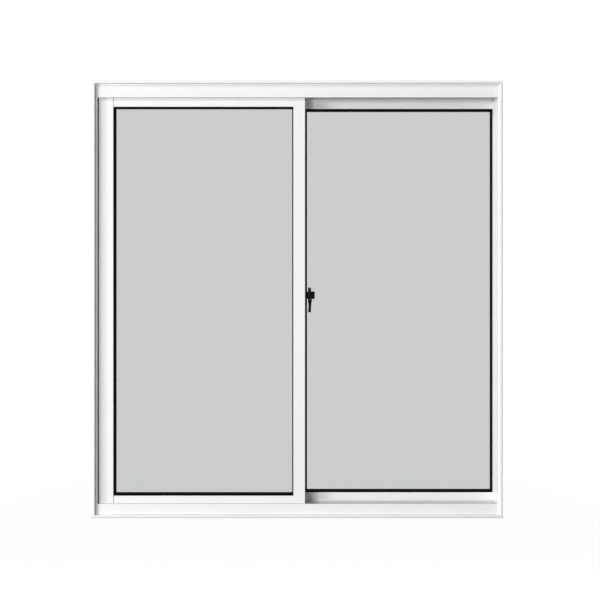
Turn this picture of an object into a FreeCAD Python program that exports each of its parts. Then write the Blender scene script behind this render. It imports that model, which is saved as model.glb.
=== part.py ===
"""Two-panel horizontal sliding window: white aluminium sections, grey glass and a crescent latch.

Millimetres. X runs to the right as seen from the room, Y runs from the room outwards and Z is up.
The origin is the middle of the sill's underside. The left panel slides, the right panel is fixed.
"""
import FreeCAD
import Part
import os

# Outer frame
frame_width = 940.0
frame_height = 1000.0
lip_depth = 7.0           # raised lip that stands into the room
lip_wall = 5.6
lip_chamfer = 1.5         # broken outer edge of the lip
jamb_thickness = 9.5      # left jamb
fixed_jamb_thickness = 8.3    # right jamb, which takes the fixed glass
frame_wall = 1.5          # webs and room-side legs
fin_wall = 1.6            # middle fin and outer leg
head_leg = 36.3           # legs of the head, measured from the top
sill_leg = 29.4           # room-side leg of the sill, measured from the underside
sill_fin = 26.0
sill_rear_leg = 22.0
corner_seam = 0.8         # joint between the jambs and the head or sill
mitre_seam = 0.2          # joint between the ends of the lips
jamb_fin_reach = 8.0      # fin of the left jamb that enters the closed sash
screw_land = 10.0         # solid strip of the jambs that takes the wall screws
screw_hole_radius = 2.75
screw_spacing = 700.0
weep_length = 30.0
weep_height = 5.0
weep_offset = 300.0

# Depth of the two tracks
sash_gap = 5.0            # room-side leg to sash
sash_depth = 20.0
interlock_space = 14.0    # sash to middle fin
fixed_depth = 20.0

# Panel sections
section_wall = 1.6
meeting_line = 4.15       # middle of both meeting stiles
meeting_stile_width = 26.7
jamb_stile_width = 33.0
groove_depth = 10.0       # groove of the jamb stile around the jamb's fin
jamb_gap = 2.5            # closed sash to left jamb
sash_floor_gap = 5.5
sash_head_gap = 13.5
sash_top_rail = 40.7
sash_bottom_rail = 39.1
fixed_top_rail_height = 48.5
fixed_bottom_rail_height = 41.6
rail_seam = 0.9

# Glazing
glass_thickness = 4.0
pocket_depth = 12.0
glass_edge_gap = 3.0
gasket_reveal = 4.5       # gasket that shows beside the sections
bottom_reveal = 5.3       # gasket that shows over the bottom rails
fixed_meeting_reveal = 5.2
fixed_jamb_reveal = 3.8
sash_top_reveal = 3.0
sash_meeting_reveal = 3.0

# Interlock of the meeting stiles
hook_wall = 1.5
hook_inset = 1.5          # hook web from the stile's outer edge
hook_lap = 14.0           # length of each hook's lip
hook_sash_gap = 3.2       # fixed hook to the back of the sash
hook_fin_gap = 2.2        # sash hook to the plane of the middle fin
hook_end_gap = 2.0        # hooks to the fins of head and sill

# Rollers, guides and pile seals
rib_wall = 3.0
rib_height = 12.0
rib_clearance = 5.0
running_gap = 0.3
wheel_tread_radius = 7.5
wheel_flange = 2.0
wheel_width = 8.0
wheel_groove = 4.4
axle_radius = 2.0
bracket_wall = 1.2
bracket_length = 34.0
bracket_gap = 0.5
roller_inset = 45.0       # roller axle from the ends of the bottom rail
guide_length = 32.0
guide_height = 12.0
guide_inset = 70.0
guide_cap = 3.0
pile_height = 5.0
pile_backing = 4.0

# Crescent latch
latch_height = 509.2
latch_plate = 2.5
latch_plate_width = 16.0
latch_plate_length = 58.0
latch_boss_radius = 8.3
latch_boss_length = 4.2
lever_thickness = 7.0
lever_hub_radius = 8.8
crescent_radius = 17.7
crescent_recess = 2.0     # recess in the half-moon's side, inside its rim
crescent_rim = 2.6
handle_start = 9.6        # shoulder of the handle, from the pivot
handle_length = 39.7
handle_root = 9.2         # widths of the handle, seen from the room
handle_waist = 6.0
handle_end = 7.2
handle_lean = 1.4         # root of the handle from the lever's middle
handle_depth = 11.0       # depths of the handle, seen from the side
handle_tip_depth = 8.0
pivot_radius = 3.0
pivot_fit = 0.05
pivot_cap_radius = 9.0
pivot_cap_length = 8.4
cap_chamfer = 1.4
keeper_wall = 2.5
keeper_plate = 1.5
keeper_height = 17.0
keeper_sash_gap = 3.5     # keeper's tongue to the back of the sash
keeper_clearance = 2.3
keeper_relief = 5.0

Vector = FreeCAD.Vector

# Planes across the depth, from the room outwards
frame_depth = (lip_depth + frame_wall + sash_gap + sash_depth + interlock_space + fin_wall
               + fixed_depth + fin_wall)
room_face = -frame_depth / 2
leg_face = room_face + lip_depth
sash_track = leg_face + frame_wall
sash_front = sash_track + sash_gap
sash_back = sash_front + sash_depth
sash_middle = sash_front + sash_depth / 2
mid_fin_face = sash_back + interlock_space
fixed_front = mid_fin_face + fin_wall
fixed_back = fixed_front + fixed_depth
fixed_middle = fixed_front + fixed_depth / 2
outer_face = fixed_back + fin_wall
screw_line = sash_back + interlock_space / 2
fixed_hook_tip = sash_back + hook_sash_gap
sash_hook_tip = mid_fin_face - hook_fin_gap

# Planes across the width and height
half_width = frame_width / 2
jamb_face = half_width - jamb_thickness
fixed_face = half_width - fixed_jamb_thickness
channel_start = corner_seam - jamb_face
channel_end = fixed_face - corner_seam
head_web = frame_height - frame_wall
head_leg_end = frame_height - head_leg
sash_left = -jamb_face + jamb_gap
sash_glass_left = sash_left + jamb_stile_width
meeting_left = meeting_line - meeting_stile_width / 2
meeting_right = meeting_line + meeting_stile_width / 2
sash_bottom = frame_wall + sash_floor_gap
sash_top = head_web - sash_head_gap
sash_sight_bottom = sash_bottom + sash_bottom_rail
sash_sight_top = sash_top - sash_top_rail
fixed_sight_bottom = frame_wall + fixed_bottom_rail_height
fixed_sight_top = head_web - fixed_top_rail_height
jamb_pocket = fixed_jamb_thickness - section_wall
hook_bottom = max(sill_leg, sill_fin) + hook_end_gap
hook_top = head_leg_end - hook_end_gap


def box(low, high):
    """Block between two corners."""
    size = [high[i] - low[i] for i in range(3)]
    return Part.makeBox(size[0], size[1], size[2], Vector(*low))


def along_x(section, start, end):
    """Section of (y, z) points drawn out along X."""
    points = [Vector(start, y, z) for y, z in section]
    face = Part.Face(Part.makePolygon(points + points[:1]))
    return face.extrude(Vector(end - start, 0, 0))


def along_y(section, start, end):
    """Section of (x, z) points drawn out along Y."""
    points = [Vector(x, start, z) for x, z in section]
    face = Part.Face(Part.makePolygon(points + points[:1]))
    return face.extrude(Vector(0, end - start, 0))


def along_z(section, start, end):
    """Section of (x, y) points drawn out along Z."""
    points = [Vector(x, y, start) for x, y in section]
    face = Part.Face(Part.makePolygon(points + points[:1]))
    return face.extrude(Vector(0, 0, end - start))


def rectangle(u0, v0, u1, v1):
    """Corner points of a rectangular section."""
    return [(u0, v0), (u1, v0), (u1, v1), (u0, v1)]


def rod_x(radius, start, end, y, z):
    """Round bar along X."""
    return Part.makeCylinder(radius, end - start, Vector(start, y, z), Vector(1, 0, 0))


def joined(shape, *others):
    """Shapes welded into one solid without the seams between them."""
    for other in others:
        shape = shape.fuse(other)
    return shape.removeSplitter()


def save(name, shape):
    """Write one piece of the assembly."""
    shape.exportStep("parts/" + name + ".step")


def channel(seat, up, front_leg, fin, rear_leg):
    """Three-legged channel of the head or sill: its web lies at seat, its legs end at the heights given."""
    web = seat + up * frame_wall
    section = [
        (leg_face, seat), (outer_face, seat), (outer_face, rear_leg), (fixed_back, rear_leg),
        (fixed_back, web), (fixed_front, web), (fixed_front, fin), (mid_fin_face, fin),
        (mid_fin_face, web), (sash_track, web), (sash_track, front_leg), (leg_face, front_leg),
    ]
    return along_x(section, channel_start, channel_end)


def lip_section(seat, inward):
    """(depth, place) points of a lip whose outer edge is broken: seat is its outer face."""
    return [(room_face, seat + inward * lip_chamfer), (room_face + lip_chamfer, seat), (leg_face, seat),
            (leg_face, seat + inward * lip_wall), (room_face, seat + inward * lip_wall)]


def lip_bar(seat, up):
    """Mitred lip along the head or sill."""
    inner = seat + up * lip_wall
    end = half_width - mitre_seam
    reach = end - lip_wall
    bar = along_x(lip_section(seat, up), -half_width, half_width)
    mitres = [(-end, seat), (end, seat), (reach, inner), (-reach, inner)]
    return bar.common(along_y(mitres, room_face, leg_face))


def lip_post(side):
    """Mitred lip along a jamb, side -1 on the left and 1 on the right."""
    edge = side * half_width
    inner = side * (half_width - lip_wall)
    post = along_z([(x, y) for y, x in lip_section(edge, -side)], 0, frame_height)
    mitres = [(edge, 0), (edge, frame_height), (inner, frame_height - lip_wall), (inner, lip_wall)]
    return post.common(along_y(mitres, room_face, leg_face))


def frame_head():
    legs = channel(frame_height, -1, head_leg_end, head_leg_end, head_leg_end)
    return joined(legs, lip_bar(frame_height, -1))


def weep_slot(x):
    """Round-ended drain slot through the sill's outer leg, just over its web."""
    radius = weep_height / 2
    middle = frame_wall + weep_height
    straight = weep_length / 2 - radius
    slot = box((x - straight, fixed_back, middle - radius), (x + straight, outer_face, middle + radius))
    for end in (x - straight, x + straight):
        centre = Vector(end, fixed_back, middle)
        slot = slot.fuse(Part.makeCylinder(radius, fin_wall, centre, Vector(0, 1, 0)))
    return slot


def frame_sill():
    legs = channel(0, 1, sill_leg, sill_fin, sill_rear_leg)
    rib_section = rectangle(sash_middle - rib_wall / 2, frame_wall, sash_middle + rib_wall / 2, rib_height)
    rib = along_x(rib_section, channel_start, channel_end)
    crown = [edge for edge in rib.Edges
             if edge.Length > channel_end and edge.BoundBox.ZMin > rib_height - rib_wall / 2]
    rib = rib.makeFillet(rib_wall / 3, crown)
    sill = joined(legs, lip_bar(0, 1), rib)
    for x in (-weep_offset, weep_offset):
        sill = sill.cut(weep_slot(x))
    return sill


def jamb(side):
    """Full-height jamb: a hollow strip with a solid land for the wall screws, and its mitred lip."""
    outer = side * half_width
    inner = fixed_face if side > 0 else -jamb_face
    body = along_z(rectangle(outer, leg_face, inner, outer_face), 0, frame_height)
    chamber_outer = outer - side * section_wall
    chamber_inner = inner + side * section_wall
    chamber = rectangle(chamber_outer, leg_face + section_wall, chamber_inner, screw_line - screw_land / 2)
    body = body.cut(along_z(chamber, 0, frame_height))
    body = joined(body, lip_post(side))
    for z in (frame_height / 2 - screw_spacing / 2, frame_height / 2 + screw_spacing / 2):
        body = body.cut(rod_x(screw_hole_radius, min(outer, inner), max(outer, inner), screw_line, z))
    return body


def frame_jamb_left():
    """Left jamb, with an outer chamber and the fin that the closed sash takes in."""
    chamber = rectangle(-half_width + section_wall, screw_line + screw_land / 2,
                        -jamb_face - section_wall, outer_face - section_wall)
    body = jamb(-1).cut(along_z(chamber, 0, frame_height))
    fin = rectangle(-jamb_face, sash_middle - fin_wall / 2,
                    -jamb_face + jamb_fin_reach, sash_middle + fin_wall / 2)
    return joined(body, along_z(fin, hook_bottom, hook_top))


def frame_jamb_right():
    """Right jamb, with the pocket that the fixed glass stands in."""
    pocket = rectangle(fixed_face, fixed_front + section_wall,
                       fixed_face + jamb_pocket, fixed_back - section_wall)
    return jamb(1).cut(along_z(pocket, 0, frame_height))


def rib_notch(start, end):
    """Clearance over the sill's roller rib, cut from the foot of a stile."""
    half = rib_wall / 2 + rib_clearance
    roof = rib_height + rib_clearance
    return box((start, sash_middle - half, sash_bottom), (end, sash_middle + half, roof))


def sash_jamb_stile():
    """Left stile: a groove for the jamb's fin, a hollow and the glazing pocket."""
    front = sash_front + section_wall
    back = sash_back - section_wall
    groove_end = sash_left + groove_depth
    pocket_start = sash_glass_left - pocket_depth
    stile = along_z(rectangle(sash_left, sash_front, sash_glass_left, sash_back), sash_bottom, sash_top)
    hollows = [
        rectangle(sash_left, front, groove_end, back),
        rectangle(groove_end + section_wall, front, pocket_start - section_wall, back),
        rectangle(pocket_start, front, sash_glass_left, back),
    ]
    for hollow in hollows:
        stile = stile.cut(along_z(hollow, sash_bottom, sash_top))
    return stile.cut(rib_notch(sash_left, sash_glass_left))


def meeting_stile(front, pocket_side, bottom, top):
    """Meeting stile: a box section with its glazing pocket on one side."""
    inner_front = front + section_wall
    back = front + sash_depth
    inner_back = back - section_wall
    stile = along_z(rectangle(meeting_left, front, meeting_right, back), bottom, top)
    pocket_edge = meeting_line + pocket_side * meeting_stile_width / 2
    far_edge = meeting_line - pocket_side * (meeting_stile_width / 2 - section_wall)
    pocket_end = pocket_edge - pocket_side * pocket_depth
    pocket = rectangle(pocket_edge, inner_front, pocket_end, inner_back)
    hollow = rectangle(pocket_end - pocket_side * section_wall, inner_front, far_edge, inner_back)
    return stile.cut(along_z(pocket, bottom, top)).cut(along_z(hollow, bottom, top))


def sash_meeting_stile():
    """Right stile of the sash, with the hook that locks behind the fixed stile's hook."""
    stile = meeting_stile(sash_front, -1, sash_bottom, sash_top)
    stile = stile.cut(rib_notch(meeting_left, meeting_right))
    web_right = meeting_right - hook_inset
    tip = sash_hook_tip
    hook = [
        (web_right, sash_back), (web_right, tip), (web_right - hook_lap, tip),
        (web_right - hook_lap, tip - hook_wall), (web_right - hook_wall, tip - hook_wall),
        (web_right - hook_wall, sash_back),
    ]
    relief = box((meeting_left, sash_back, latch_height - keeper_height / 2 - keeper_relief),
                 (meeting_right, fixed_front, latch_height + keeper_height / 2 + keeper_relief))
    return joined(stile, along_z(hook, hook_bottom, hook_top)).cut(relief)


def fixed_meeting_stile():
    """Left stile of the fixed panel, with its interlock hook on the room side."""
    stile = meeting_stile(fixed_front, 1, frame_wall, head_web)
    web_left = meeting_left + hook_inset
    tip = fixed_hook_tip
    hook = [
        (web_left, fixed_front), (web_left, tip), (web_left + hook_lap, tip),
        (web_left + hook_lap, tip + hook_wall), (web_left + hook_wall, tip + hook_wall),
        (web_left + hook_wall, fixed_front),
    ]
    return joined(stile, along_z(hook, hook_bottom, hook_top))


def rail(front, outer, sight, start, end):
    """Rail of a panel: an H section, with its pocket at the sight line and an open channel behind it."""
    inner_front = front + section_wall
    back = front + sash_depth
    inner_back = back - section_wall
    inward = 1 if sight > outer else -1
    pocket_end = sight - inward * pocket_depth
    web_end = pocket_end - inward * section_wall
    section = [
        (front, outer), (inner_front, outer), (inner_front, web_end), (inner_back, web_end),
        (inner_back, outer), (back, outer), (back, sight), (inner_back, sight),
        (inner_back, pocket_end), (inner_front, pocket_end), (inner_front, sight), (front, sight),
    ]
    return along_x(section, start, end)


def glass(x0, x1, z0, z1, middle):
    """Sheet of glass in the middle of its panel."""
    half = glass_thickness / 2
    return box((x0, middle - half, z0), (x1, middle + half, z1))


def frame_wire(x0, x1, z0, z1, y):
    """Rectangle across the view at depth y."""
    points = [Vector(x, y, z) for x, z in rectangle(x0, z0, x1, z1)]
    return Part.makePolygon(points + points[:1])


def gasket(x0, x1, z0, z1, right_bite, reveals, front, sheet):
    """Black glazing seal round one sight opening: it fills the pockets and slopes down to the glass.
    reveals: what shows of it on the left, right, bottom and top.
    """
    left, right, bottom, top = reveals
    middle = front + sash_depth / 2
    near = front + section_wall
    far = front + sash_depth - section_wall
    ring = box((x0 - pocket_depth, near, z0 - pocket_depth), (x1 + right_bite, far, z1 + pocket_depth))
    inner = (x0 + left, x1 - right, z0 + bottom, z1 - top)
    ring = ring.cut(box((inner[0], near, inner[2]), (inner[1], far, inner[3])))
    for face, surface in ((near, middle - glass_thickness / 2), (far, middle + glass_thickness / 2)):
        wide = frame_wire(x0, x1, z0, z1, face)
        narrow = frame_wire(*inner, surface)
        ring = ring.cut(Part.makeLoft([wide, narrow], True, True))
    return ring.cut(sheet)


def roller_axle_height():
    """Height of the roller axles: the treads run just over the sill's rib."""
    return rib_height + running_gap + wheel_tread_radius


def roller_wheel(x):
    """Grooved nylon wheel that straddles the sill's rib."""
    z = roller_axle_height()
    flange_radius = wheel_tread_radius + wheel_flange
    half = wheel_width / 2
    groove = wheel_groove / 2
    outline = [(-half, axle_radius + running_gap), (half, axle_radius + running_gap), (half, flange_radius),
               (groove, flange_radius), (groove, wheel_tread_radius), (-groove, wheel_tread_radius),
               (-groove, flange_radius), (-half, flange_radius)]
    points = [Vector(x, sash_middle + y, z + r) for y, r in outline]
    face = Part.Face(Part.makePolygon(points + points[:1]))
    return face.revolve(Vector(x, sash_middle, z), Vector(0, 1, 0), 360)


def roller_bracket(x):
    """U bracket under the bottom rail's web, with the roller's axle."""
    z = roller_axle_height()
    web = sash_sight_bottom - pocket_depth - section_wall
    inner = wheel_width / 2 + bracket_gap
    outer = inner + bracket_wall
    foot = z - axle_radius - bracket_wall
    section = [
        (sash_middle - outer, foot), (sash_middle - inner, foot), (sash_middle - inner, web - bracket_wall),
        (sash_middle + inner, web - bracket_wall), (sash_middle + inner, foot), (sash_middle + outer, foot),
        (sash_middle + outer, web), (sash_middle - outer, web),
    ]
    cheeks = along_x(section, x - bracket_length / 2, x + bracket_length / 2)
    axle = Part.makeCylinder(axle_radius, 2 * outer, Vector(x, sash_middle - outer, z), Vector(0, 1, 0))
    return joined(cheeks, axle)


def top_guide(x):
    """Nylon saddle over the top rail that keeps the sash upright between the head's legs."""
    near = sash_track + running_gap
    far = mid_fin_face - running_gap
    foot = sash_top - guide_height
    section = [
        (near, foot), (sash_front, foot), (sash_front, sash_top), (sash_back, sash_top), (sash_back, foot),
        (far, foot), (far, sash_top + guide_cap), (near, sash_top + guide_cap),
    ]
    return along_x(section, x - guide_length / 2, x + guide_length / 2)


def latch_base():
    """Plate on the side of the sash's meeting stile, with the boss that the lever turns on."""
    start = meeting_right
    half = latch_plate_width / 2
    straight = latch_plate_length / 2 - half
    plate = box((start, sash_middle - half, latch_height - straight),
                (start + latch_plate, sash_middle + half, latch_height + straight))
    ends = [rod_x(half, start, start + latch_plate, sash_middle, latch_height + z)
            for z in (-straight, straight)]
    boss = rod_x(latch_boss_radius, start, start + latch_plate + latch_boss_length, sash_middle, latch_height)
    return joined(plate, ends[0], ends[1], boss)


def lever_start():
    """Face of the lever next to the boss."""
    return meeting_right + latch_plate + latch_boss_length + running_gap


def lever_handle(middle):
    """Handle below the pivot: its waisted outline from the room, cut to its tapered outline from the side."""
    root = latch_height - handle_start
    tip = latch_height - handle_length
    waist = (root + 2 * tip) / 3
    front = sash_middle - handle_depth
    back = sash_middle + handle_depth

    def flank(side):
        places = ((handle_lean, handle_root, root), (handle_lean / 2, handle_waist, waist),
                  (0, handle_end, tip))
        points = [Vector(middle + lean + side * width / 2, front, z) for lean, width, z in places]
        return Part.Arc(*points).toShape()

    left = flank(-1)
    right = flank(1)
    head = Part.makeLine(left.Vertexes[0].Point, right.Vertexes[0].Point)
    foot = Part.makeLine(left.Vertexes[-1].Point, right.Vertexes[-1].Point)
    waisted = Part.Face(Part.Wire(Part.__sortEdges__([left, foot, right, head])))
    waisted = waisted.extrude(Vector(0, back - front, 0))

    half_tip = handle_tip_depth / 2
    shoulder = tip + half_tip
    edge = middle - handle_root
    near_root = Vector(edge, sash_middle - handle_depth / 2, root)
    far_root = Vector(edge, sash_middle + handle_depth / 2, root)
    near_tip = Vector(edge, sash_middle - half_tip, shoulder)
    far_tip = Vector(edge, sash_middle + half_tip, shoulder)
    nose = Part.Arc(near_tip, Vector(edge, sash_middle, tip), far_tip).toShape()
    sides = [Part.makeLine(near_root, near_tip), nose, Part.makeLine(far_tip, far_root),
             Part.makeLine(far_root, near_root)]
    tapered = Part.Face(Part.Wire(sides)).extrude(Vector(2 * handle_root, 0, 0))
    return waisted.common(tapered)


def latch_lever():
    """Lever with its rimmed half-moon towards the room and its waisted handle hanging down."""
    start = lever_start()
    end = start + lever_thickness
    middle = (start + end) / 2
    hub = rod_x(lever_hub_radius, start, end, sash_middle, latch_height)
    moon = rod_x(crescent_radius, start, end, sash_middle, latch_height)
    rim = rod_x(crescent_radius - crescent_rim, end - crescent_recess, end, sash_middle, latch_height)
    behind = box((start, sash_middle, latch_height - crescent_radius),
                 (end, sash_middle + crescent_radius, latch_height + crescent_radius))
    moon = moon.cut(rim).cut(behind)
    neck = box((start, sash_middle - handle_depth / 2, latch_height - handle_start),
               (end, sash_middle + handle_depth / 2, latch_height))
    bore = rod_x(pivot_radius + pivot_fit, start, end, sash_middle, latch_height)
    return joined(hub, moon, neck, lever_handle(middle)).cut(bore)


def latch_pivot():
    """Pivot pin on the boss, with the round cap that keeps the lever on."""
    boss_face = meeting_right + latch_plate + latch_boss_length
    cap_face = lever_start() + lever_thickness + running_gap
    pin = rod_x(pivot_radius, boss_face, cap_face, sash_middle, latch_height)
    cap_end = cap_face + pivot_cap_length
    cap = rod_x(pivot_cap_radius, cap_face, cap_end, sash_middle, latch_height)
    rim = [edge for edge in cap.Edges if edge.BoundBox.XMin > cap_end - cap_chamfer]
    cap = cap.makeChamfer(cap_chamfer, rim)
    return joined(pin, cap)


def latch_keeper():
    """L bracket on the fixed stile, whose tongue stops the turned half-moon."""
    tongue_start = lever_start() + lever_thickness + keeper_clearance
    tongue_end = tongue_start + keeper_wall
    tongue_tip = sash_back + keeper_sash_gap
    plate_face = fixed_front - keeper_plate
    section = [
        (meeting_left + hook_inset + hook_wall, fixed_front),
        (meeting_left + hook_inset + hook_wall, plate_face),
        (tongue_start, plate_face), (tongue_start, tongue_tip), (tongue_end, tongue_tip),
        (tongue_end, fixed_front),
    ]
    half = keeper_height / 2
    return along_z(section, latch_height - half, latch_height + half)


def pile_strips():
    """Grey pile seals: on the head, the sill, in the jamb stile's groove and on the fixed hook."""
    rail_start = sash_glass_left - jamb_stile_width
    near = sash_track
    far = sash_front - running_gap
    head_strip = rectangle(near, head_leg_end, far, head_leg_end + pile_height)
    sill_strip = rectangle(near, sill_leg - pile_height, far, sill_leg)
    save("head_pile", along_x(head_strip, rail_start, meeting_right))
    save("sill_pile", along_x(sill_strip, rail_start, meeting_right))
    fin_tip = -jamb_face + jamb_fin_reach + running_gap
    half = pile_backing / 2
    groove_strip = rectangle(fin_tip, sash_middle - half, sash_left + groove_depth, sash_middle + half)
    save("jamb_pile", along_z(groove_strip, hook_bottom, hook_top))
    lip_back = fixed_hook_tip + hook_wall
    sash_lip = sash_hook_tip - hook_wall
    lip_end = meeting_left + hook_inset + hook_lap
    hook_strip = rectangle(lip_end - pile_backing, lip_back, lip_end, sash_lip - running_gap)
    save("interlock_pile", along_z(hook_strip, hook_bottom, hook_top))


def build():
    os.makedirs("parts", exist_ok=True)
    save("frame_head", frame_head())
    save("frame_sill", frame_sill())
    save("frame_jamb_left", frame_jamb_left())
    save("frame_jamb_right", frame_jamb_right())

    bite = pocket_depth - glass_edge_gap
    jamb_bite = jamb_pocket - glass_edge_gap
    save("fixed_meeting_stile", fixed_meeting_stile())
    save("fixed_bottom_rail", rail(fixed_front, frame_wall, fixed_sight_bottom, meeting_right, fixed_face))
    save("fixed_top_rail", rail(fixed_front, head_web, fixed_sight_top, meeting_right, fixed_face))
    fixed_glass = glass(meeting_right - bite, fixed_face + jamb_bite, fixed_sight_bottom - bite,
                        fixed_sight_top + bite, fixed_middle)
    save("fixed_glass", fixed_glass)
    fixed_reveals = (fixed_meeting_reveal, fixed_jamb_reveal, bottom_reveal, gasket_reveal)
    save("fixed_gasket", gasket(meeting_right, fixed_face, fixed_sight_bottom, fixed_sight_top,
                                jamb_pocket, fixed_reveals, fixed_front, fixed_glass))

    rail_start = sash_glass_left + rail_seam
    save("sash_jamb_stile", sash_jamb_stile())
    save("sash_meeting_stile", sash_meeting_stile())
    save("sash_bottom_rail", rail(sash_front, sash_bottom, sash_sight_bottom, rail_start, meeting_left))
    save("sash_top_rail", rail(sash_front, sash_top, sash_sight_top, rail_start, meeting_left))
    sash_glass = glass(sash_glass_left - bite, meeting_left + bite, sash_sight_bottom - bite,
                       sash_sight_top + bite, sash_middle)
    save("sash_glass", sash_glass)
    sash_reveals = (gasket_reveal, sash_meeting_reveal, bottom_reveal, sash_top_reveal)
    save("sash_gasket", gasket(sash_glass_left, meeting_left, sash_sight_bottom, sash_sight_top,
                               pocket_depth, sash_reveals, sash_front, sash_glass))

    rail_ends = {"left": rail_start, "right": meeting_left}
    for name, end in rail_ends.items():
        inward = 1 if name == "left" else -1
        save("roller_wheel_" + name, roller_wheel(end + inward * roller_inset))
        save("roller_bracket_" + name, roller_bracket(end + inward * roller_inset))
        save("top_guide_" + name, top_guide(end + inward * guide_inset))

    save("latch_base", latch_base())
    save("latch_pivot", latch_pivot())
    save("latch_lever", latch_lever())
    save("latch_keeper", latch_keeper())
    pile_strips()


build()
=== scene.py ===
import math
import random

import bmesh
import bpy
from mathutils import Matrix, Vector


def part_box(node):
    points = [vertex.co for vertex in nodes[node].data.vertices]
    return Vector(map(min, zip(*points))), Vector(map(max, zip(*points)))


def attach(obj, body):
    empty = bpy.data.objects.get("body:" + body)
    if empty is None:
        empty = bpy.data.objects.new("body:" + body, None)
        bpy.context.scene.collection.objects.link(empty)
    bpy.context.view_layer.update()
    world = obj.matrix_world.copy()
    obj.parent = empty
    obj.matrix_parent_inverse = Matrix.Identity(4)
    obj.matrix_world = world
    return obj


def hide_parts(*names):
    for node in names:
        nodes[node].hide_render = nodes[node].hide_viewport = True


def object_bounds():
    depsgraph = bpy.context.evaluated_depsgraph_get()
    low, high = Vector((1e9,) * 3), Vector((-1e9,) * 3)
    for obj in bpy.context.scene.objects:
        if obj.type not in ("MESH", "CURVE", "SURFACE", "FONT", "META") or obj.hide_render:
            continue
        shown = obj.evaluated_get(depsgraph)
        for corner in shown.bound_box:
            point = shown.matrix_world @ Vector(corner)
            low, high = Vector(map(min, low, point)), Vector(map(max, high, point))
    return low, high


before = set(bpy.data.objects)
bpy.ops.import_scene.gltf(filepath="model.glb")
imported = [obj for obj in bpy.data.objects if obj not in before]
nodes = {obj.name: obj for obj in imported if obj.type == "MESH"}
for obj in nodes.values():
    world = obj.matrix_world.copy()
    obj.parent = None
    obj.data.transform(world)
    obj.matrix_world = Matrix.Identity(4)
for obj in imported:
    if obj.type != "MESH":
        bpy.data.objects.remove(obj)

bl_info = {
    "name": "Sliding Window Dresser",
    "version": (1, 0, 0),
    "blender": (4, 5, 0),
    "location": "3D View > Sidebar > Window",
    "description": "Finishes, gaskets, fasteners, pile seals and stage for a two-panel sliding window",
    "category": "Object",
}

cad_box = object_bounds()

# Nodes of the CAD model, by finish and by the way their sections were drawn out
LYING_NODES = ("frame_head", "frame_sill", "fixed_bottom_rail", "fixed_top_rail",
               "sash_bottom_rail", "sash_top_rail")
JAMB_NODES = ("frame_jamb_left", "frame_jamb_right")
STILE_NODES = ("fixed_meeting_stile", "sash_jamb_stile", "sash_meeting_stile")
GLASS_NODES = ("sash_glass", "fixed_glass")
LATCH_NODES = ("latch_base", "latch_lever", "latch_keeper")
NYLON_NODES = ("roller_wheel_left", "roller_wheel_right", "top_guide_left", "top_guide_right")
STEEL_NODES = ("roller_bracket_left", "roller_bracket_right")

# Directions: across the window, from the room outwards, and up
ACROSS = Vector((1.0, 0.0, 0.0))
OUTWARDS = Vector((0.0, 1.0, 0.0))
UP = Vector((0.0, 0.0, 1.0))

# Colours of wear and of the stage
DUST = (0.62, 0.60, 0.57, 1.0)
RUBBER_BLOOM = (0.016, 0.016, 0.017, 1.0)
RUBBED_PAINT = (0.014, 0.014, 0.015, 1.0)
WORN_EDGE = (0.045, 0.045, 0.047, 1.0)
FLOOR_GREY = (0.4, 0.4, 0.4, 1.0)
WHITE = (1.0, 1.0, 1.0, 1.0)
GLASS_MOTTLE_SHARES = (0.965, 0.997, 0.993)

# Stretch of a noise into draw lines, for sections that lie, sections that stand and plated steel
LYING_LINES = (2.0, 420.0, 420.0)
STANDING_LINES = (420.0, 420.0, 2.0)
PLATING_LINES = (60.0, 900.0, 900.0)

# Corners nearer than this, in metres, are one corner
CAD_MERGE = 0.00002
MERGE = 0.000005

# Edges of the CAD nodes that are sharper than this are rounded, and faces of the added pieces that
# meet at less than these angles look like one smooth face
ROUNDED_ANGLE = math.radians(40)
GASKET_SMOOTH_ANGLE = math.radians(24)
CAP_SMOOTH_ANGLE = math.radians(38)
HEAD_SMOOTH_ANGLE = math.radians(42)

# Gasket profile in shares: across from the section's wall to the clear glass, and down from the
# gasket's face to the surface of the glass
GASKET_TUCK = -0.6
WALL_LIP_END = 0.40
WALL_LIP_CREST = 0.04
WALL_LIP_FOOT = 0.50
GASKET_GROOVE = (0.46, 0.58)
GLASS_LIP_START = 0.84
GLASS_LIP_CREST = 0.735

# Capped pivot, in metres, and the dish of its end in shares of its radius
PIN_RADIUS = 0.003
CAP_LENGTH = 0.0084
CAP_EDGE = 0.0004
CAP_RIM = 0.0016
CAP_RIM_STEPS = 4
CAP_FACETS = 40
DISH_DEPTH = 0.0009
DISH_RIM = 0.62
DISH_FLOOR = 0.50
TIP_FOOT = 0.34
TIP_SHOULDER = 0.28
TIP_SHOULDER_DEPTH = 0.0003
TIP_TOP = 0.12

# Screw heads in shares of their radius and height: rings from the seat up, then the cross recess,
# which has as many corners as the head has facets
HEAD_FACETS = 12
HEAD_RINGS = ((1.0, 0.4), (0.88, 0.78), (0.66, 1.0))
CROSS_REACH = 0.48
CROSS_HALF_WIDTH = 0.13
CROSS_TAPER = 0.35
CROSS_DEPTH = 0.7

# Seats of the screws and heights of their heads, in metres, and places in shares of a section
LATCH_PLATE = 0.0025
LATCH_SCREW_RISE = 0.0215
LATCH_HEAD = 0.0011
KEEPER_PLATE = 0.0015
KEEPER_SCREW_SHIFTS = (0.006, 0.018)
KEEPER_HEAD = 0.0009
RAIL_SCREW_SHARES = (0.3, 0.7)
RAIL_HEAD = 0.0010
CORNER_SCREW_INSET = 0.007
CORNER_SCREW_SHARES = (0.22, 0.52, 0.88)
CORNER_HEAD = 0.0003

# Pile brushes: shares of the strip's height, length and width, of the pitch, and of a tuft's foot
BACKING_SHARE = 0.2
TUFT_ROW_SHARE = 0.998
TUFT_WIDTH_SHARE = 0.94
TUFT_OVERLAP = 1.15
TUFT_LEAN_ALONG = 0.12
TUFT_LEAN_ACROSS = 0.05
TUFT_TOP_SHARES = (0.72, 0.86)

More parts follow.
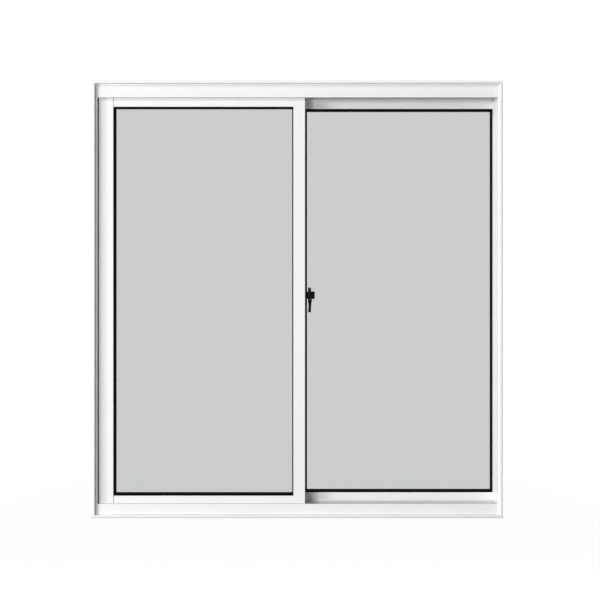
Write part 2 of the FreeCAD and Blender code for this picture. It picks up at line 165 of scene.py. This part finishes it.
# Floor, in metres, and the share of white that a view gets on it: at the window's foot, and what
# the contact shade and the soft shade give back away from it
FLOOR_REACH = 12.0
CONTACT_SHADE_END = 0.005
SOFT_SHADE_START = 0.02
SOFT_SHADE_END = 0.35
FOOT_WHITE = 0.50
CONTACT_WHITE = 0.47
SOFT_WHITE = 0.03

# Strength of the surround as a light, and the point that the lamps are aimed at
SURROUND_LIGHT = 0.11
LAMP_TARGET = Vector((0.0, 0.0, 0.5))


class Shade:
    """An output socket of a shader tree. Sockets that hold numbers can be added and multiplied."""

    def __init__(self, tree, socket):
        self.tree = tree
        self.socket = socket

    def math(self, operation, first, second):
        return self.tree.node("ShaderNodeMath", {"operation": operation}, {0: first, 1: second})

    def __add__(self, other):
        return self.math("ADD", self, other)

    def __radd__(self, other):
        return self.math("ADD", other, self)

    def __mul__(self, other):
        return self.math("MULTIPLY", self, other)

    def __rmul__(self, other):
        return self.math("MULTIPLY", other, self)


class ShaderTree:
    """The nodes of a material or of the world."""

    def __init__(self, tree):
        self.tree = tree
        self.tree.nodes.clear()

    def node(self, kind, settings, inputs, output=0):
        """Add a node: its settings first, then the values or links of its sockets."""
        made = self.tree.nodes.new(kind)
        for key, value in settings.items():
            setattr(made, key, value)
        for key, value in inputs.items():
            socket = made.inputs[key]
            if isinstance(value, Shade):
                self.tree.links.new(value.socket, socket)
            else:
                socket.default_value = value
        if len(made.outputs) == 0:
            return None
        return Shade(self, made.outputs[output])

    def seen_white(self):
        """1 for the rays that should see a white surround: straight, mirrored or through glass."""
        straight = self.node("ShaderNodeLightPath", {}, {}, "Is Camera Ray")
        mirrored = self.node("ShaderNodeLightPath", {}, {}, "Is Glossy Ray")
        through = self.node("ShaderNodeLightPath", {}, {}, "Is Transmission Ray")
        return self.node("ShaderNodeMath", {"operation": "MINIMUM"},
                         {0: straight + mirrored + through, 1: 1.0})


class Finish(ShaderTree):
    """One material."""

    def __init__(self, name):
        self.material = bpy.data.materials.new(name)
        self.material.use_nodes = True
        super().__init__(self.material.node_tree)

    def place(self, scale=(1.0, 1.0, 1.0)):
        """Object coordinates, stretched along the axes."""
        where = self.node("ShaderNodeTexCoord", {}, {}, "Object")
        return self.node("ShaderNodeMapping", {"vector_type": "POINT"}, {"Vector": where, "Scale": scale})

    def noise(self, where, scale, detail=4.0):
        """Cloudy pattern of numbers around a half."""
        return self.node("ShaderNodeTexNoise", {},
                         {"Vector": where, "Scale": scale, "Detail": detail, "Roughness": 0.55}, "Fac")

    def upward(self):
        """How far a face looks up: 1 for level faces, 0 for upright ones."""
        facing = self.node("ShaderNodeNewGeometry", {}, {}, "Normal")
        return self.node("ShaderNodeSeparateXYZ", {}, {0: facing}, "Z")

    def crest(self, low, high):
        """1 on worn edges that stand out, 0 on flat faces."""
        pointed = self.node("ShaderNodeNewGeometry", {}, {}, "Pointiness")
        return self.band(pointed, low, high)

    def band(self, value, low, high):
        """0 below low, 1 above high, and smooth between."""
        return self.node("ShaderNodeMapRange", {"interpolation_type": "SMOOTHSTEP"},
                         {"Value": value, "From Min": low, "From Max": high}, "Result")

    def blend(self, factor, first, second):
        """Mix of two colours."""
        return self.node("ShaderNodeMix", {"data_type": "RGBA"},
                         {"Factor": factor, 6: first, 7: second}, 2)

    def bump(self, height, strength, distance):
        """Fine relief from a pattern of heights."""
        return self.node("ShaderNodeBump", {},
                         {"Strength": strength, "Distance": distance, "Height": height}, "Normal")

    def output(self, shader):
        """Make a shader the material's surface."""
        self.node("ShaderNodeOutputMaterial", {}, {"Surface": shader})
        return self.material

    def surface(self, inputs):
        """Principled surface as the material's output."""
        return self.output(self.node("ShaderNodeBsdfPrincipled", {}, inputs, "BSDF"))


def opaque(colour):
    return (colour[0], colour[1], colour[2], 1.0)


def darker(colour, share):
    return (colour[0] * share, colour[1] * share, colour[2] * share, 1.0)


def powder_coat(name, colour, lengthwise):
    """Satin powder coat with faint draw lines along the section, dust on ledges and orange peel."""
    finish = Finish(name)
    where = finish.place()
    drawn = finish.place(lengthwise)
    cloud = finish.noise(where, scale=5.0)
    lines = finish.noise(drawn, scale=1.0, detail=3.0)
    speck = finish.noise(where, scale=420.0, detail=2.0)
    patches = finish.band(finish.noise(where, scale=38.0), low=0.42, high=0.75)
    dust = finish.band(finish.upward(), low=0.6, high=0.95) * patches
    shade = finish.band(cloud * 0.6 + lines * 0.4, low=0.25, high=0.75)
    clean = finish.blend(shade, darker(colour, 0.968), opaque(colour))
    peel = finish.noise(where, scale=950.0, detail=3.0)
    return finish.surface({
        "Base Color": finish.blend(dust * 0.16, clean, DUST),
        "Roughness": 0.36 + 0.10 * speck + 0.22 * dust,
        "IOR": 1.5,
        "Normal": finish.bump(peel, strength=0.10, distance=0.0003),
    })


def window_glass(name, colour):
    """Float glass that reads pale grey, with a very faint cool mottling."""
    finish = Finish(name)
    mottle = finish.band(finish.noise(finish.place(), scale=7.0, detail=3.0), low=0.56, high=0.78)
    cool = [part * share for part, share in zip(colour, GLASS_MOTTLE_SHARES)]
    return finish.surface({
        "Base Color": finish.blend(mottle, opaque(colour), opaque(cool)),
        "Roughness": 0.0,
        "IOR": 1.5,
        "Transmission Weight": 1.0,
    })


def gasket_rubber(name, colour):
    """Black rubber with a soft sheen and a trace of grey bloom."""
    finish = Finish(name)
    where = finish.place()
    bloom = finish.band(finish.noise(where, scale=55.0), low=0.5, high=0.85)
    grain = finish.noise(where, scale=1400.0, detail=2.0)
    return finish.surface({
        "Base Color": finish.blend(bloom * 0.3, opaque(colour), RUBBER_BLOOM),
        "Roughness": 0.30 + 0.16 * bloom,
        "Specular IOR Level": 0.05,
        "Normal": finish.bump(grain, strength=0.08, distance=0.0001),
    })


def cast_black(name, colour):
    """Satin black paint over a casting, rubbed a little paler on its edges and where fingers reach."""
    finish = Finish(name)
    where = finish.place()
    rub = finish.band(finish.noise(where, scale=160.0), low=0.55, high=0.78)
    patches = finish.band(finish.noise(where, scale=90.0), low=0.4, high=0.65)
    edge = finish.crest(low=0.52, high=0.62) * patches
    grain = finish.noise(where, scale=900.0, detail=3.0)
    painted = finish.blend(rub * 0.5, opaque(colour), RUBBED_PAINT)
    return finish.surface({
        "Base Color": finish.blend(edge * 0.5, painted, WORN_EDGE),
        "Roughness": 0.34 + 0.20 * rub,
        "Specular IOR Level": 0.09,
        "Normal": finish.bump(grain, strength=0.12, distance=0.0003),
    })


def moulded_nylon(name, colour):
    """Natural nylon, a little yellowed and scuffed."""
    finish = Finish(name)
    where = finish.place()
    scuff = finish.band(finish.noise(where, scale=120.0), low=0.5, high=0.75)
    grain = finish.noise(where, scale=700.0)
    return finish.surface({
        "Base Color": finish.blend(scuff, opaque(colour), darker(colour, 0.82)),
        "Roughness": 0.42 + 0.2 * scuff,
        "Normal": finish.bump(grain, strength=0.10, distance=0.0003),
    })


def plated_steel(name, colour):
    """Zinc-plated steel with a fine grain."""
    finish = Finish(name)
    spangle = finish.noise(finish.place(), scale=240.0, detail=2.0)
    grain = finish.noise(finish.place(PLATING_LINES), scale=1.0, detail=2.0)
    return finish.surface({
        "Base Color": finish.blend(spangle, darker(colour, 0.8), opaque(colour)),
        "Metallic": 1.0,
        "Roughness": 0.30 + 0.22 * grain,
        "Normal": finish.bump(grain, strength=0.08, distance=0.0002),
    })


def woven_pile(name, colour):
    """Pale pile fibres, darker in streaks."""
    finish = Finish(name)
    fibre = finish.noise(finish.place(), scale=1500.0, detail=2.0)
    return finish.surface({
        "Base Color": finish.blend(fibre, darker(colour, 0.72), opaque(colour)),
        "Roughness": 0.92,
        "Normal": finish.bump(fibre, strength=0.4, distance=0.0004),
    })


def dress(node_names, material):
    """Give CAD nodes a finish."""
    for name in node_names:
        slots = nodes[name].data.materials
        slots.clear()
        slots.append(material)


def soften(node_names, width):
    """Rounded edges on CAD nodes, as extruded and moulded pieces have."""
    for name in node_names:
        piece = nodes[name]
        weld = piece.modifiers.new("Merged corners", "WELD")
        weld.merge_threshold = CAD_MERGE
        bevel = piece.modifiers.new("Rounded edges", "BEVEL")
        bevel.width = width
        bevel.segments = 2
        bevel.limit_method = "ANGLE"
        bevel.angle_limit = ROUNDED_ANGLE
        bevel.harden_normals = True


def axes_at(place, along, stand):
    """Matrix that puts X along a piece and Z off the face it stands on."""
    turn = Matrix((along, stand.cross(along), stand)).transposed()
    return Matrix.Translation(place) @ turn.to_4x4()


def ring_of(shape, places):
    """Closed ring of edges through places, as its corners in order."""
    ring = [shape.verts.new(place) for place in places]
    for i in range(len(ring)):
        shape.edges.new((ring[i - 1], ring[i]))
    return ring


def ring_edges(shape, ring):
    """Edges of a ring, in the order of its corners."""
    return [shape.edges.get((ring[i - 1], ring[i])) for i in range(len(ring))]


def draw_out(shape, ring, places):
    """Extrude a ring of corners to new places, and give the new ring."""
    made = bmesh.ops.extrude_edge_only(shape, edges=ring_edges(shape, ring))["geom"]
    fresh = {item for item in made if isinstance(item, bmesh.types.BMVert)}
    grown = []
    for corner, place in zip(ring, places):
        neighbours = [edge.other_vert(corner) for edge in corner.link_edges]
        partner = next(other for other in neighbours if other in fresh)
        partner.co = place
        grown.append(partner)
    return grown


def shade_smooth(shape, limit):
    """Smooth faces that meet at less than the limit."""
    for face in shape.faces:
        face.smooth = True
    for edge in shape.edges:
        edge.smooth = edge.calc_face_angle(0.0) < limit


def make_piece(name, shape, material, body):
    """Object from a modelled shape, riding on a body of the CAD model."""
    bmesh.ops.recalc_face_normals(shape, faces=shape.faces)
    mesh = bpy.data.meshes.new(name)
    shape.to_mesh(mesh)
    shape.free()
    mesh.materials.append(material)
    piece = bpy.data.objects.new(name, mesh)
    bpy.context.scene.collection.objects.link(piece)
    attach(piece, body)
    return piece


class WindowColours(bpy.types.PropertyGroup):
    """Colours of the finishes"""
    coat: bpy.props.FloatVectorProperty(
        name="Powder coat", description="White of the aluminium sections", subtype="COLOR",
        size=3, min=0.0, max=1.0, default=(0.87, 0.87, 0.874))
    glass: bpy.props.FloatVectorProperty(
        name="Glass", description="Tint of both sheets of glass", subtype="COLOR",
        size=3, min=0.0, max=1.0, default=(0.589, 0.589, 0.601))
    gasket: bpy.props.FloatVectorProperty(
        name="Gasket", description="Black of the glazing seals", subtype="COLOR",
        size=3, min=0.0, max=1.0, default=(0.003, 0.003, 0.003))
    latch: bpy.props.FloatVectorProperty(
        name="Latch", description="Black of the crescent latch and its screws", subtype="COLOR",
        size=3, min=0.0, max=1.0, default=(0.004, 0.004, 0.0042))
    nylon: bpy.props.FloatVectorProperty(
        name="Nylon", description="Rollers and guides", subtype="COLOR",
        size=3, min=0.0, max=1.0, default=(0.72, 0.70, 0.64))
    steel: bpy.props.FloatVectorProperty(
        name="Steel", description="Roller brackets and corner screws", subtype="COLOR",
        size=3, min=0.0, max=1.0, default=(0.62, 0.62, 0.63))
    pile: bpy.props.FloatVectorProperty(
        name="Pile", description="Pale grey of the pile seals", subtype="COLOR",
        size=3, min=0.0, max=1.0, default=(0.74, 0.74, 0.74))


class WindowSizes(bpy.types.PropertyGroup):
    """Sizes of rounded edges and added pieces, and the place of the camera"""
    coat_edge: bpy.props.FloatProperty(
        name="Section edge", description="Rounding of the coated sections",
        unit="LENGTH", default=0.0004)
    small_edge: bpy.props.FloatProperty(
        name="Small edge", description="Rounding of latch, rollers and guides",
        unit="LENGTH", default=0.0004)
    screw_radius: bpy.props.FloatProperty(
        name="Screw head", description="Radius of the screw heads",
        unit="LENGTH", default=0.0028)
    pile_pitch: bpy.props.FloatProperty(
        name="Tuft pitch", description="Spacing of the tufts of the pile",
        unit="LENGTH", default=0.0026)
    bead_steps: bpy.props.IntProperty(
        name="Bead steps", description="Facets round each lip of the gaskets",
        default=5, min=2)
    camera_distance: bpy.props.FloatProperty(
        name="Camera distance", description="Camera to the lip's room face",
        unit="LENGTH", default=1.45)
    camera_across: bpy.props.FloatProperty(
        name="Camera across", description="Camera right of the window's middle",
        unit="LENGTH", default=0.006)
    camera_height: bpy.props.FloatProperty(
        name="Camera height", description="Camera over the sill's underside",
        unit="LENGTH", default=0.498)
    camera_lens: bpy.props.FloatProperty(
        name="Lens", description="Focal length in millimetres",
        unit="CAMERA", default=38.04)


def colours():
    return bpy.context.scene.window_colours


def sizes():
    return bpy.context.scene.window_sizes


class WINDOW_OT_sections(bpy.types.Operator):
    """Coat the aluminium sections"""
    bl_idname = "window.sections"
    bl_label = "Coated sections"

    def execute(self, context):
        lying = powder_coat("Powder coat, lying", colours().coat, LYING_LINES)
        standing = powder_coat("Powder coat, standing", colours().coat, STANDING_LINES)
        dress(LYING_NODES, lying)
        dress(JAMB_NODES + STILE_NODES, standing)
        soften(LYING_NODES + STILE_NODES, sizes().coat_edge)
        return {"FINISHED"}


class WINDOW_OT_glazing(bpy.types.Operator):
    """Finish both sheets of glass and model their double-lipped gaskets"""
    bl_idname = "window.glazing"
    bl_label = "Glazing"

    def execute(self, context):
        dress(GLASS_NODES, window_glass("Grey glass", colours().glass))
        rubber = gasket_rubber("Gasket rubber", colours().gasket)
        self.gasket("sash", "sash", rubber, "sash_jamb_stile", "sash_meeting_stile",
                    "sash_bottom_rail", "sash_top_rail")
        self.gasket("fixed", "frame", rubber, "fixed_meeting_stile", "frame_jamb_right",
                    "fixed_bottom_rail", "fixed_top_rail")
        return {"FINISHED"}

    def gasket(self, panel, body, rubber, left, right, bottom, top):
        """Gasket of one panel, in the opening between four sections."""
        node = panel + "_gasket"
        opening = (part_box(left)[1].x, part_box(right)[0].x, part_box(bottom)[1].z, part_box(top)[0].z)
        inner = self.inner_edge(node)
        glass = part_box(panel + "_glass")
        room_side, outer_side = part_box(node)
        shape = bmesh.new()
        self.bead(shape, opening, inner, room_side.y, glass[0].y)
        self.bead(shape, opening, inner, outer_side.y, glass[1].y)
        piece = make_piece(panel + "_gasket_lips", shape, rubber, body)
        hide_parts(node)

    def inner_edge(self, node):
        """Left, right, bottom and top of the clear glass inside a gasket of the CAD model."""
        low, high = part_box(node)
        middle = (low + high) / 2
        places = [corner.co for corner in nodes[node].data.vertices]
        return (max(place.x for place in places if place.x < middle.x),
                min(place.x for place in places if place.x > middle.x),
                max(place.z for place in places if place.z < middle.z),
                min(place.z for place in places if place.z > middle.z))

    def lip(self, start, end, crest, foot):
        """Quarter round of a lip, from its crest at the start to its foot at the end."""
        steps = sizes().bead_steps
        angles = [math.pi / 2 * step / steps for step in range(steps + 1)]
        return [(start + (end - start) * math.sin(angle), foot - (foot - crest) * math.cos(angle))
                for angle in angles]

    def frame_corners(self, opening, inner, share, depth):
        """Corners of a ring round the glass, a share of the way from the walls to the clear glass."""
        x0, x1, z0, z1 = [wall + share * (clear - wall) for wall, clear in zip(opening, inner)]
        return ((x0, depth, z0), (x1, depth, z0), (x1, depth, z1), (x0, depth, z1))

    def bead(self, shape, opening, inner, face, surface):
        """Two rounded lips that step down from a section's wall to the glass."""
        profile = [(GASKET_TUCK, WALL_LIP_CREST)]
        profile += self.lip(0.0, WALL_LIP_END, WALL_LIP_CREST, WALL_LIP_FOOT)
        profile += [GASKET_GROOVE]
        profile += self.lip(GLASS_LIP_START, 1.0, GLASS_LIP_CREST, 1.0)
        profile += [(GASKET_TUCK, 1.0)]
        rings = [self.frame_corners(opening, inner, share, face + sink * (surface - face))
                 for share, sink in profile]
        ring = ring_of(shape, rings[0])
        mitres = []
        for corners in rings[1:] + rings[:1]:
            outer = ring
            ring = draw_out(shape, outer, corners)
            mitres += [shape.edges.get(pair) for pair in zip(outer, ring)]
        shade_smooth(shape, GASKET_SMOOTH_ANGLE)
        for edge in mitres:
            edge.smooth = False
        bmesh.ops.remove_doubles(shape, verts=shape.verts, dist=MERGE)


class WINDOW_OT_latch(bpy.types.Operator):
    """Finish the crescent latch and its keeper, and turn the capped pivot"""
    bl_idname = "window.latch"
    bl_label = "Crescent latch"

    def execute(self, context):
        black = cast_black("Latch black", colours().latch)
        dress(LATCH_NODES, black)
        soften(LATCH_NODES, sizes().small_edge)
        self.pivot(black)
        return {"FINISHED"}

    def pivot(self, black):
        """Pin with a round cap, whose end is dished around a riveted tip."""
        low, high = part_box("latch_pivot")
        middle = (low + high) / 2
        radius = (high.z - low.z) / 2
        end = high.x
        cap_start = end - CAP_LENGTH
        dish = end - DISH_DEPTH
        profile = [(low.x, 0.0), (low.x, PIN_RADIUS), (cap_start, PIN_RADIUS),
                   (cap_start, radius - CAP_EDGE), (cap_start + CAP_EDGE, radius)]
        for step in range(CAP_RIM_STEPS + 1):
            angle = math.pi / 2 * step / CAP_RIM_STEPS
            profile.append((end - CAP_RIM * (1 - math.sin(angle)),
                            radius - CAP_RIM * (1 - math.cos(angle))))
        profile += [(end, radius * DISH_RIM), (dish, radius * DISH_FLOOR), (dish, radius * TIP_FOOT),
                    (end - TIP_SHOULDER_DEPTH, radius * TIP_SHOULDER), (end, radius * TIP_TOP), (end, 0.0)]
        shape = bmesh.new()
        points = [shape.verts.new((x, middle.y, middle.z + reach)) for x, reach in profile]
        edges = [shape.edges.new(pair) for pair in zip(points, points[1:])]
        bmesh.ops.spin(shape, geom=points + edges, cent=(0.0, middle.y, middle.z), axis=ACROSS,
                       angle=math.tau, steps=CAP_FACETS, use_merge=True, use_duplicate=False)
        bmesh.ops.remove_doubles(shape, verts=shape.verts, dist=MERGE)
        shade_smooth(shape, CAP_SMOOTH_ANGLE)
        piece = make_piece("capped_pivot", shape, black, "sash")
        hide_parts("latch_pivot")


class WINDOW_OT_fasteners(bpy.types.Operator):
    """Screws of the latch, the keeper, the sash and the frame's corners"""
    bl_idname = "window.fasteners"
    bl_label = "Fasteners"

    def execute(self, context):
        black = cast_black("Black screw", colours().latch)
        steel = plated_steel("Screw steel", colours().steel)
        self.latch_screws(black)
        self.keeper_screws(black)
        self.sash_screws(steel)
        self.corner_screws(steel)
        return {"FINISHED"}

    def head(self, shape, place, along, stand, height):
        """Pan head with a cross recess."""
        radius = sizes().screw_radius
        before = set(shape.verts)
        angles = [math.tau * (facet + 0.5) / HEAD_FACETS for facet in range(HEAD_FACETS)]
        spokes = [Vector((math.cos(angle), math.sin(angle), 0.0)) for angle in angles]
        ring = ring_of(shape, [spoke * radius for spoke in spokes])
        bmesh.ops.edgeloop_fill(shape, edges=ring_edges(shape, ring))
        for share, rise in HEAD_RINGS:
            ring = draw_out(shape, ring, [spoke * radius * share + UP * height * rise for spoke in spokes])
        arm = radius * CROSS_REACH
        half = radius * CROSS_HALF_WIDTH
        cross = []
        for turn in range(4):
            spin = Matrix.Rotation(turn * math.pi / 2, 3, "Z")
            cross += [spin @ Vector((arm, half, height)), spin @ Vector((half, half, height)),
                      spin @ Vector((half, arm, height))]
        ring = draw_out(shape, ring, cross)
        recess = bmesh.ops.edgeloop_fill(shape, edges=ring_edges(shape, ring))["faces"]
        bmesh.ops.recalc_face_normals(shape, faces=shape.faces)
        bmesh.ops.inset_region(shape, faces=recess, thickness=half * CROSS_TAPER,
                               depth=-height * CROSS_DEPTH)
        fresh = [corner for corner in shape.verts if corner not in before]
        bmesh.ops.transform(shape, matrix=axes_at(place, along, stand), verts=fresh)

    def finish_heads(self, name, shape, material, body, slot):
        """Make one piece of a set of heads."""
        shade_smooth(shape, HEAD_SMOOTH_ANGLE)
        make_piece(name, shape, material, body)

    def latch_screws(self, black):
        """Two heads on the base plate, over and under the boss."""
        low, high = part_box("latch_base")
        middle = (low + high) / 2
        shape = bmesh.new()
        for rise in (-LATCH_SCREW_RISE, LATCH_SCREW_RISE):
            place = Vector((low.x + LATCH_PLATE, middle.y, middle.z + rise))
            self.head(shape, place, UP, ACROSS, LATCH_HEAD)
        self.finish_heads("latch_screws", shape, black, "sash", "black_latch")

    def keeper_screws(self, black):
        """Two heads on the room side of the keeper's plate."""
        low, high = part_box("latch_keeper")
        middle = (low + high) / 2
        shape = bmesh.new()
        for shift in KEEPER_SCREW_SHIFTS:
            place = Vector((low.x + shift, high.y - KEEPER_PLATE, middle.z))
            self.head(shape, place, ACROSS, -OUTWARDS, KEEPER_HEAD)
        self.finish_heads("keeper_screws", shape, black, "frame", "black_latch")

    def sash_screws(self, steel):
        """Heads in the meeting stile's side, into the ends of both rails."""
        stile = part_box("sash_meeting_stile")
        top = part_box("sash_top_rail")
        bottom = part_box("sash_bottom_rail")
        depth = (bottom[0].y + bottom[1].y) / 2
        shape = bmesh.new()
        for low, high in (top, bottom):
            for share in RAIL_SCREW_SHARES:
                place = Vector((stile[1].x, depth, low.z + share * (high.z - low.z)))
                self.head(shape, place, UP, ACROSS, RAIL_HEAD)
        self.finish_heads("sash_corner_screws", shape, steel, "sash", "plated_steel")

    def corner_screws(self, steel):
        """Flat heads in the outer faces of the jambs, into the ends of the head and sill."""
        low, high = cad_box
        shape = bmesh.new()
        for stand, side in ((-ACROSS, low[0]), (ACROSS, high[0])):
            for height in (low[2] + CORNER_SCREW_INSET, high[2] - CORNER_SCREW_INSET):
                for share in CORNER_SCREW_SHARES:
                    place = Vector((side, low[1] + share * (high[1] - low[1]), height))
                    self.head(shape, place, UP, stand, CORNER_HEAD)
        self.finish_heads("frame_corner_screws", shape, steel, "frame", "plated_steel")


class WINDOW_OT_running_gear(bpy.types.Operator):
    """Finish the rollers, their brackets and the guides"""
    bl_idname = "window.running_gear"
    bl_label = "Running gear"

    def execute(self, context):
        dress(NYLON_NODES, moulded_nylon("Nylon", colours().nylon))
        dress(STEEL_NODES, plated_steel("Plated steel", colours().steel))
        soften(NYLON_NODES + STEEL_NODES, sizes().small_edge)
        return {"FINISHED"}


class WINDOW_OT_seals(bpy.types.Operator):
    """Pile brushes on the head, the sill, the jamb stile and the interlock"""
    bl_idname = "window.seals"
    bl_label = "Pile seals"

    def execute(self, context):
        fibres = woven_pile("Woven pile", colours().pile)
        self.brush("head_pile", "frame", ACROSS, OUTWARDS, fibres)
        self.brush("sill_pile", "frame", ACROSS, OUTWARDS, fibres)
        self.brush("jamb_pile", "sash", UP, -ACROSS, fibres)
        self.brush("interlock_pile", "frame", UP, OUTWARDS, fibres)
        return {"FINISHED"}

    def brush(self, node, body, along, stand, fibres):
        """Backing strip with a row of leaning tufts that fills the place of a CAD strip."""
        low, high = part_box(node)
        size = high - low
        side = stand.cross(along)
        length = abs(size.dot(along))
        width = abs(size.dot(side))
        height = abs(size.dot(stand))
        backing = height * BACKING_SHARE
        root = (low + high) / 2 - stand * height / 2
        shape = bmesh.new()
        strip = axes_at(root + stand * backing / 2, along, stand)
        strip_size = Matrix.Diagonal((length, width, backing, 1.0))
        bmesh.ops.create_cube(shape, size=1.0, matrix=strip @ strip_size)
        chance = random.Random(node)
        pitch = sizes().pile_pitch
        count = int(length / pitch)
        square_turn = Matrix.Rotation(math.pi / 4, 4, "Z")
        square_radius = math.sqrt(2) / 2
        tuft_size = Matrix.Diagonal((pitch * TUFT_OVERLAP, width * TUFT_WIDTH_SHARE, height - backing, 1.0))
        for tuft in range(count):
            shift = (tuft + 0.5) / count - 0.5
            foot = root + along * shift * length * TUFT_ROW_SHARE + stand * (backing + height) / 2
            lean_along = chance.uniform(-TUFT_LEAN_ALONG, TUFT_LEAN_ALONG)
            lean_across = chance.uniform(-TUFT_LEAN_ACROSS, TUFT_LEAN_ACROSS)
            lean = Matrix.Shear("XY", 4, (lean_along, lean_across))
            bmesh.ops.create_cone(shape, cap_ends=True, segments=4, radius1=square_radius,
                                  radius2=square_radius * chance.uniform(*TUFT_TOP_SHARES), depth=1.0,
                                  matrix=axes_at(foot, along, stand) @ lean @ tuft_size @ square_turn)
        piece = make_piece(node + "_brush", shape, fibres, body)
        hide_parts(node)


class WINDOW_OT_stage(bpy.types.Operator):
    """Set the floor, the white surround, the lamps and the camera"""
    bl_idname = "window.stage"
    bl_label = "Stage"

    def execute(self, context):
        self.floor(context)
        self.surround(context)
        self.lamp(context, "Key lamp", place=(-1.2, -2.3, 0.5), power=24.5, width=0.8, height=0.4)
        self.lamp(context, "Side lamp", place=(-15.4, -9.3, 0.8), power=1540.0, width=4.0, height=1.6)
        self.lamp(context, "High lamp", place=(-10.0, -10.8, 10.8), power=1400.0, width=2.4, height=1.6)
        self.lamp(context, "Rear lamp", place=(7.6, 8.6, 5.6), power=1100.0, width=5.0, height=2.0)
        self.camera(context)
        return {"FINISHED"}

    def floor(self, context):
        """Floor that a view sees white, shaded beside the window's foot."""
        mesh = bpy.data.meshes.new("Floor")
        shape = bmesh.new()
        bmesh.ops.create_grid(shape, x_segments=1, y_segments=1, size=FLOOR_REACH)
        shape.to_mesh(mesh)
        shape.free()
        floor = bpy.data.objects.new("Floor", mesh)
        context.scene.collection.objects.link(floor)
        mesh.materials.append(self.pale_floor())

    def pale_floor(self):
        """Matt grey for light that falls on it, and a white glow for views."""
        finish = Finish("Pale floor")
        matt = finish.node("ShaderNodeBsdfDiffuse", {}, {"Color": FLOOR_GREY}, "BSDF")
        glow = finish.node("ShaderNodeEmission", {}, {"Color": WHITE, "Strength": 1.0}, "Emission")
        foot = (cad_box[1][0], cad_box[1][1], 0.0)
        around = finish.node("ShaderNodeVectorMath", {"operation": "ABSOLUTE"}, {0: finish.place()})
        beyond = finish.node("ShaderNodeVectorMath", {"operation": "SUBTRACT"}, {0: around, 1: foot})
        outside = finish.node("ShaderNodeVectorMath", {"operation": "MAXIMUM"},
                              {0: beyond, 1: (0.0, 0.0, 0.0)})
        away = finish.node("ShaderNodeVectorMath", {"operation": "LENGTH"}, {0: outside}, "Value")
        soft = finish.band(away, SOFT_SHADE_START, SOFT_SHADE_END)
        contact = finish.band(away, 0.0, CONTACT_SHADE_END)
        white = FOOT_WHITE + CONTACT_WHITE * contact + SOFT_WHITE * soft
        return finish.output(finish.node("ShaderNodeMixShader", {},
                                         {0: finish.seen_white() * white, 1: matt, 2: glow}, "Shader"))

    def surround(self, context):
        """World that a view sees white and that lights the window only faintly."""
        world = bpy.data.worlds.new("White surround")
        world.use_nodes = True
        context.scene.world = world
        tree = ShaderTree(world.node_tree)
        strength = tree.seen_white() * (1.0 - SURROUND_LIGHT) + SURROUND_LIGHT
        glow = tree.node("ShaderNodeBackground", {}, {"Color": WHITE, "Strength": strength}, "Background")
        tree.node("ShaderNodeOutputWorld", {}, {"Surface": glow})

    def lamp(self, context, name, place, power, width, height):
        """Soft rectangular lamp aimed at the window, which no view sees."""
        light = bpy.data.lights.new(name, "AREA")
        light.shape = "RECTANGLE"
        light.size = width
        light.size_y = height
        light.energy = power
        holder = bpy.data.objects.new(name, light)
        holder.visible_camera = False
        holder.visible_glossy = False
        holder.visible_transmission = False
        holder.location = place
        holder.rotation_euler = (LAMP_TARGET - Vector(place)).to_track_quat("-Z", "Y").to_euler()
        context.scene.collection.objects.link(holder)

    def camera(self, context):
        """Level camera before the window's room side."""
        lens = bpy.data.cameras.new("Camera")
        lens.lens = sizes().camera_lens
        lens.sensor_width = 36.0
        holder = bpy.data.objects.new("Camera", lens)
        depth = cad_box[0][1] - sizes().camera_distance
        holder.location = (sizes().camera_across, depth, sizes().camera_height)
        holder.rotation_euler = (math.radians(90), 0.0, 0.0)
        context.scene.collection.objects.link(holder)
        context.scene.camera = holder
        context.scene.view_settings.view_transform = "Standard"


STEPS = (WINDOW_OT_sections, WINDOW_OT_glazing, WINDOW_OT_latch, WINDOW_OT_fasteners,
         WINDOW_OT_running_gear, WINDOW_OT_seals, WINDOW_OT_stage)


class WINDOW_PT_dresser(bpy.types.Panel):
    """Sidebar panel with the steps that dress the window"""
    bl_idname = "WINDOW_PT_dresser"
    bl_label = "Sliding window"
    bl_space_type = "VIEW_3D"
    bl_region_type = "UI"
    bl_category = "Window"

    def draw(self, context):
        for step in STEPS:
            self.layout.operator(step.bl_idname)


CLASSES = (WindowColours, WindowSizes) + STEPS + (WINDOW_PT_dresser,)


def register():
    for item in CLASSES:
        bpy.utils.register_class(item)
    bpy.types.Scene.window_colours = bpy.props.PointerProperty(type=WindowColours)
    bpy.types.Scene.window_sizes = bpy.props.PointerProperty(type=WindowSizes)


def unregister():
    del bpy.types.Scene.window_sizes
    del bpy.types.Scene.window_colours
    for item in reversed(CLASSES):
        bpy.utils.unregister_class(item)


def main():
    register()
    bpy.ops.window.sections()
    bpy.ops.window.glazing()
    bpy.ops.window.latch()
    bpy.ops.window.fasteners()
    bpy.ops.window.running_gear()
    bpy.ops.window.seals()
    bpy.ops.window.stage()


if __name__ == "__main__":
    main()
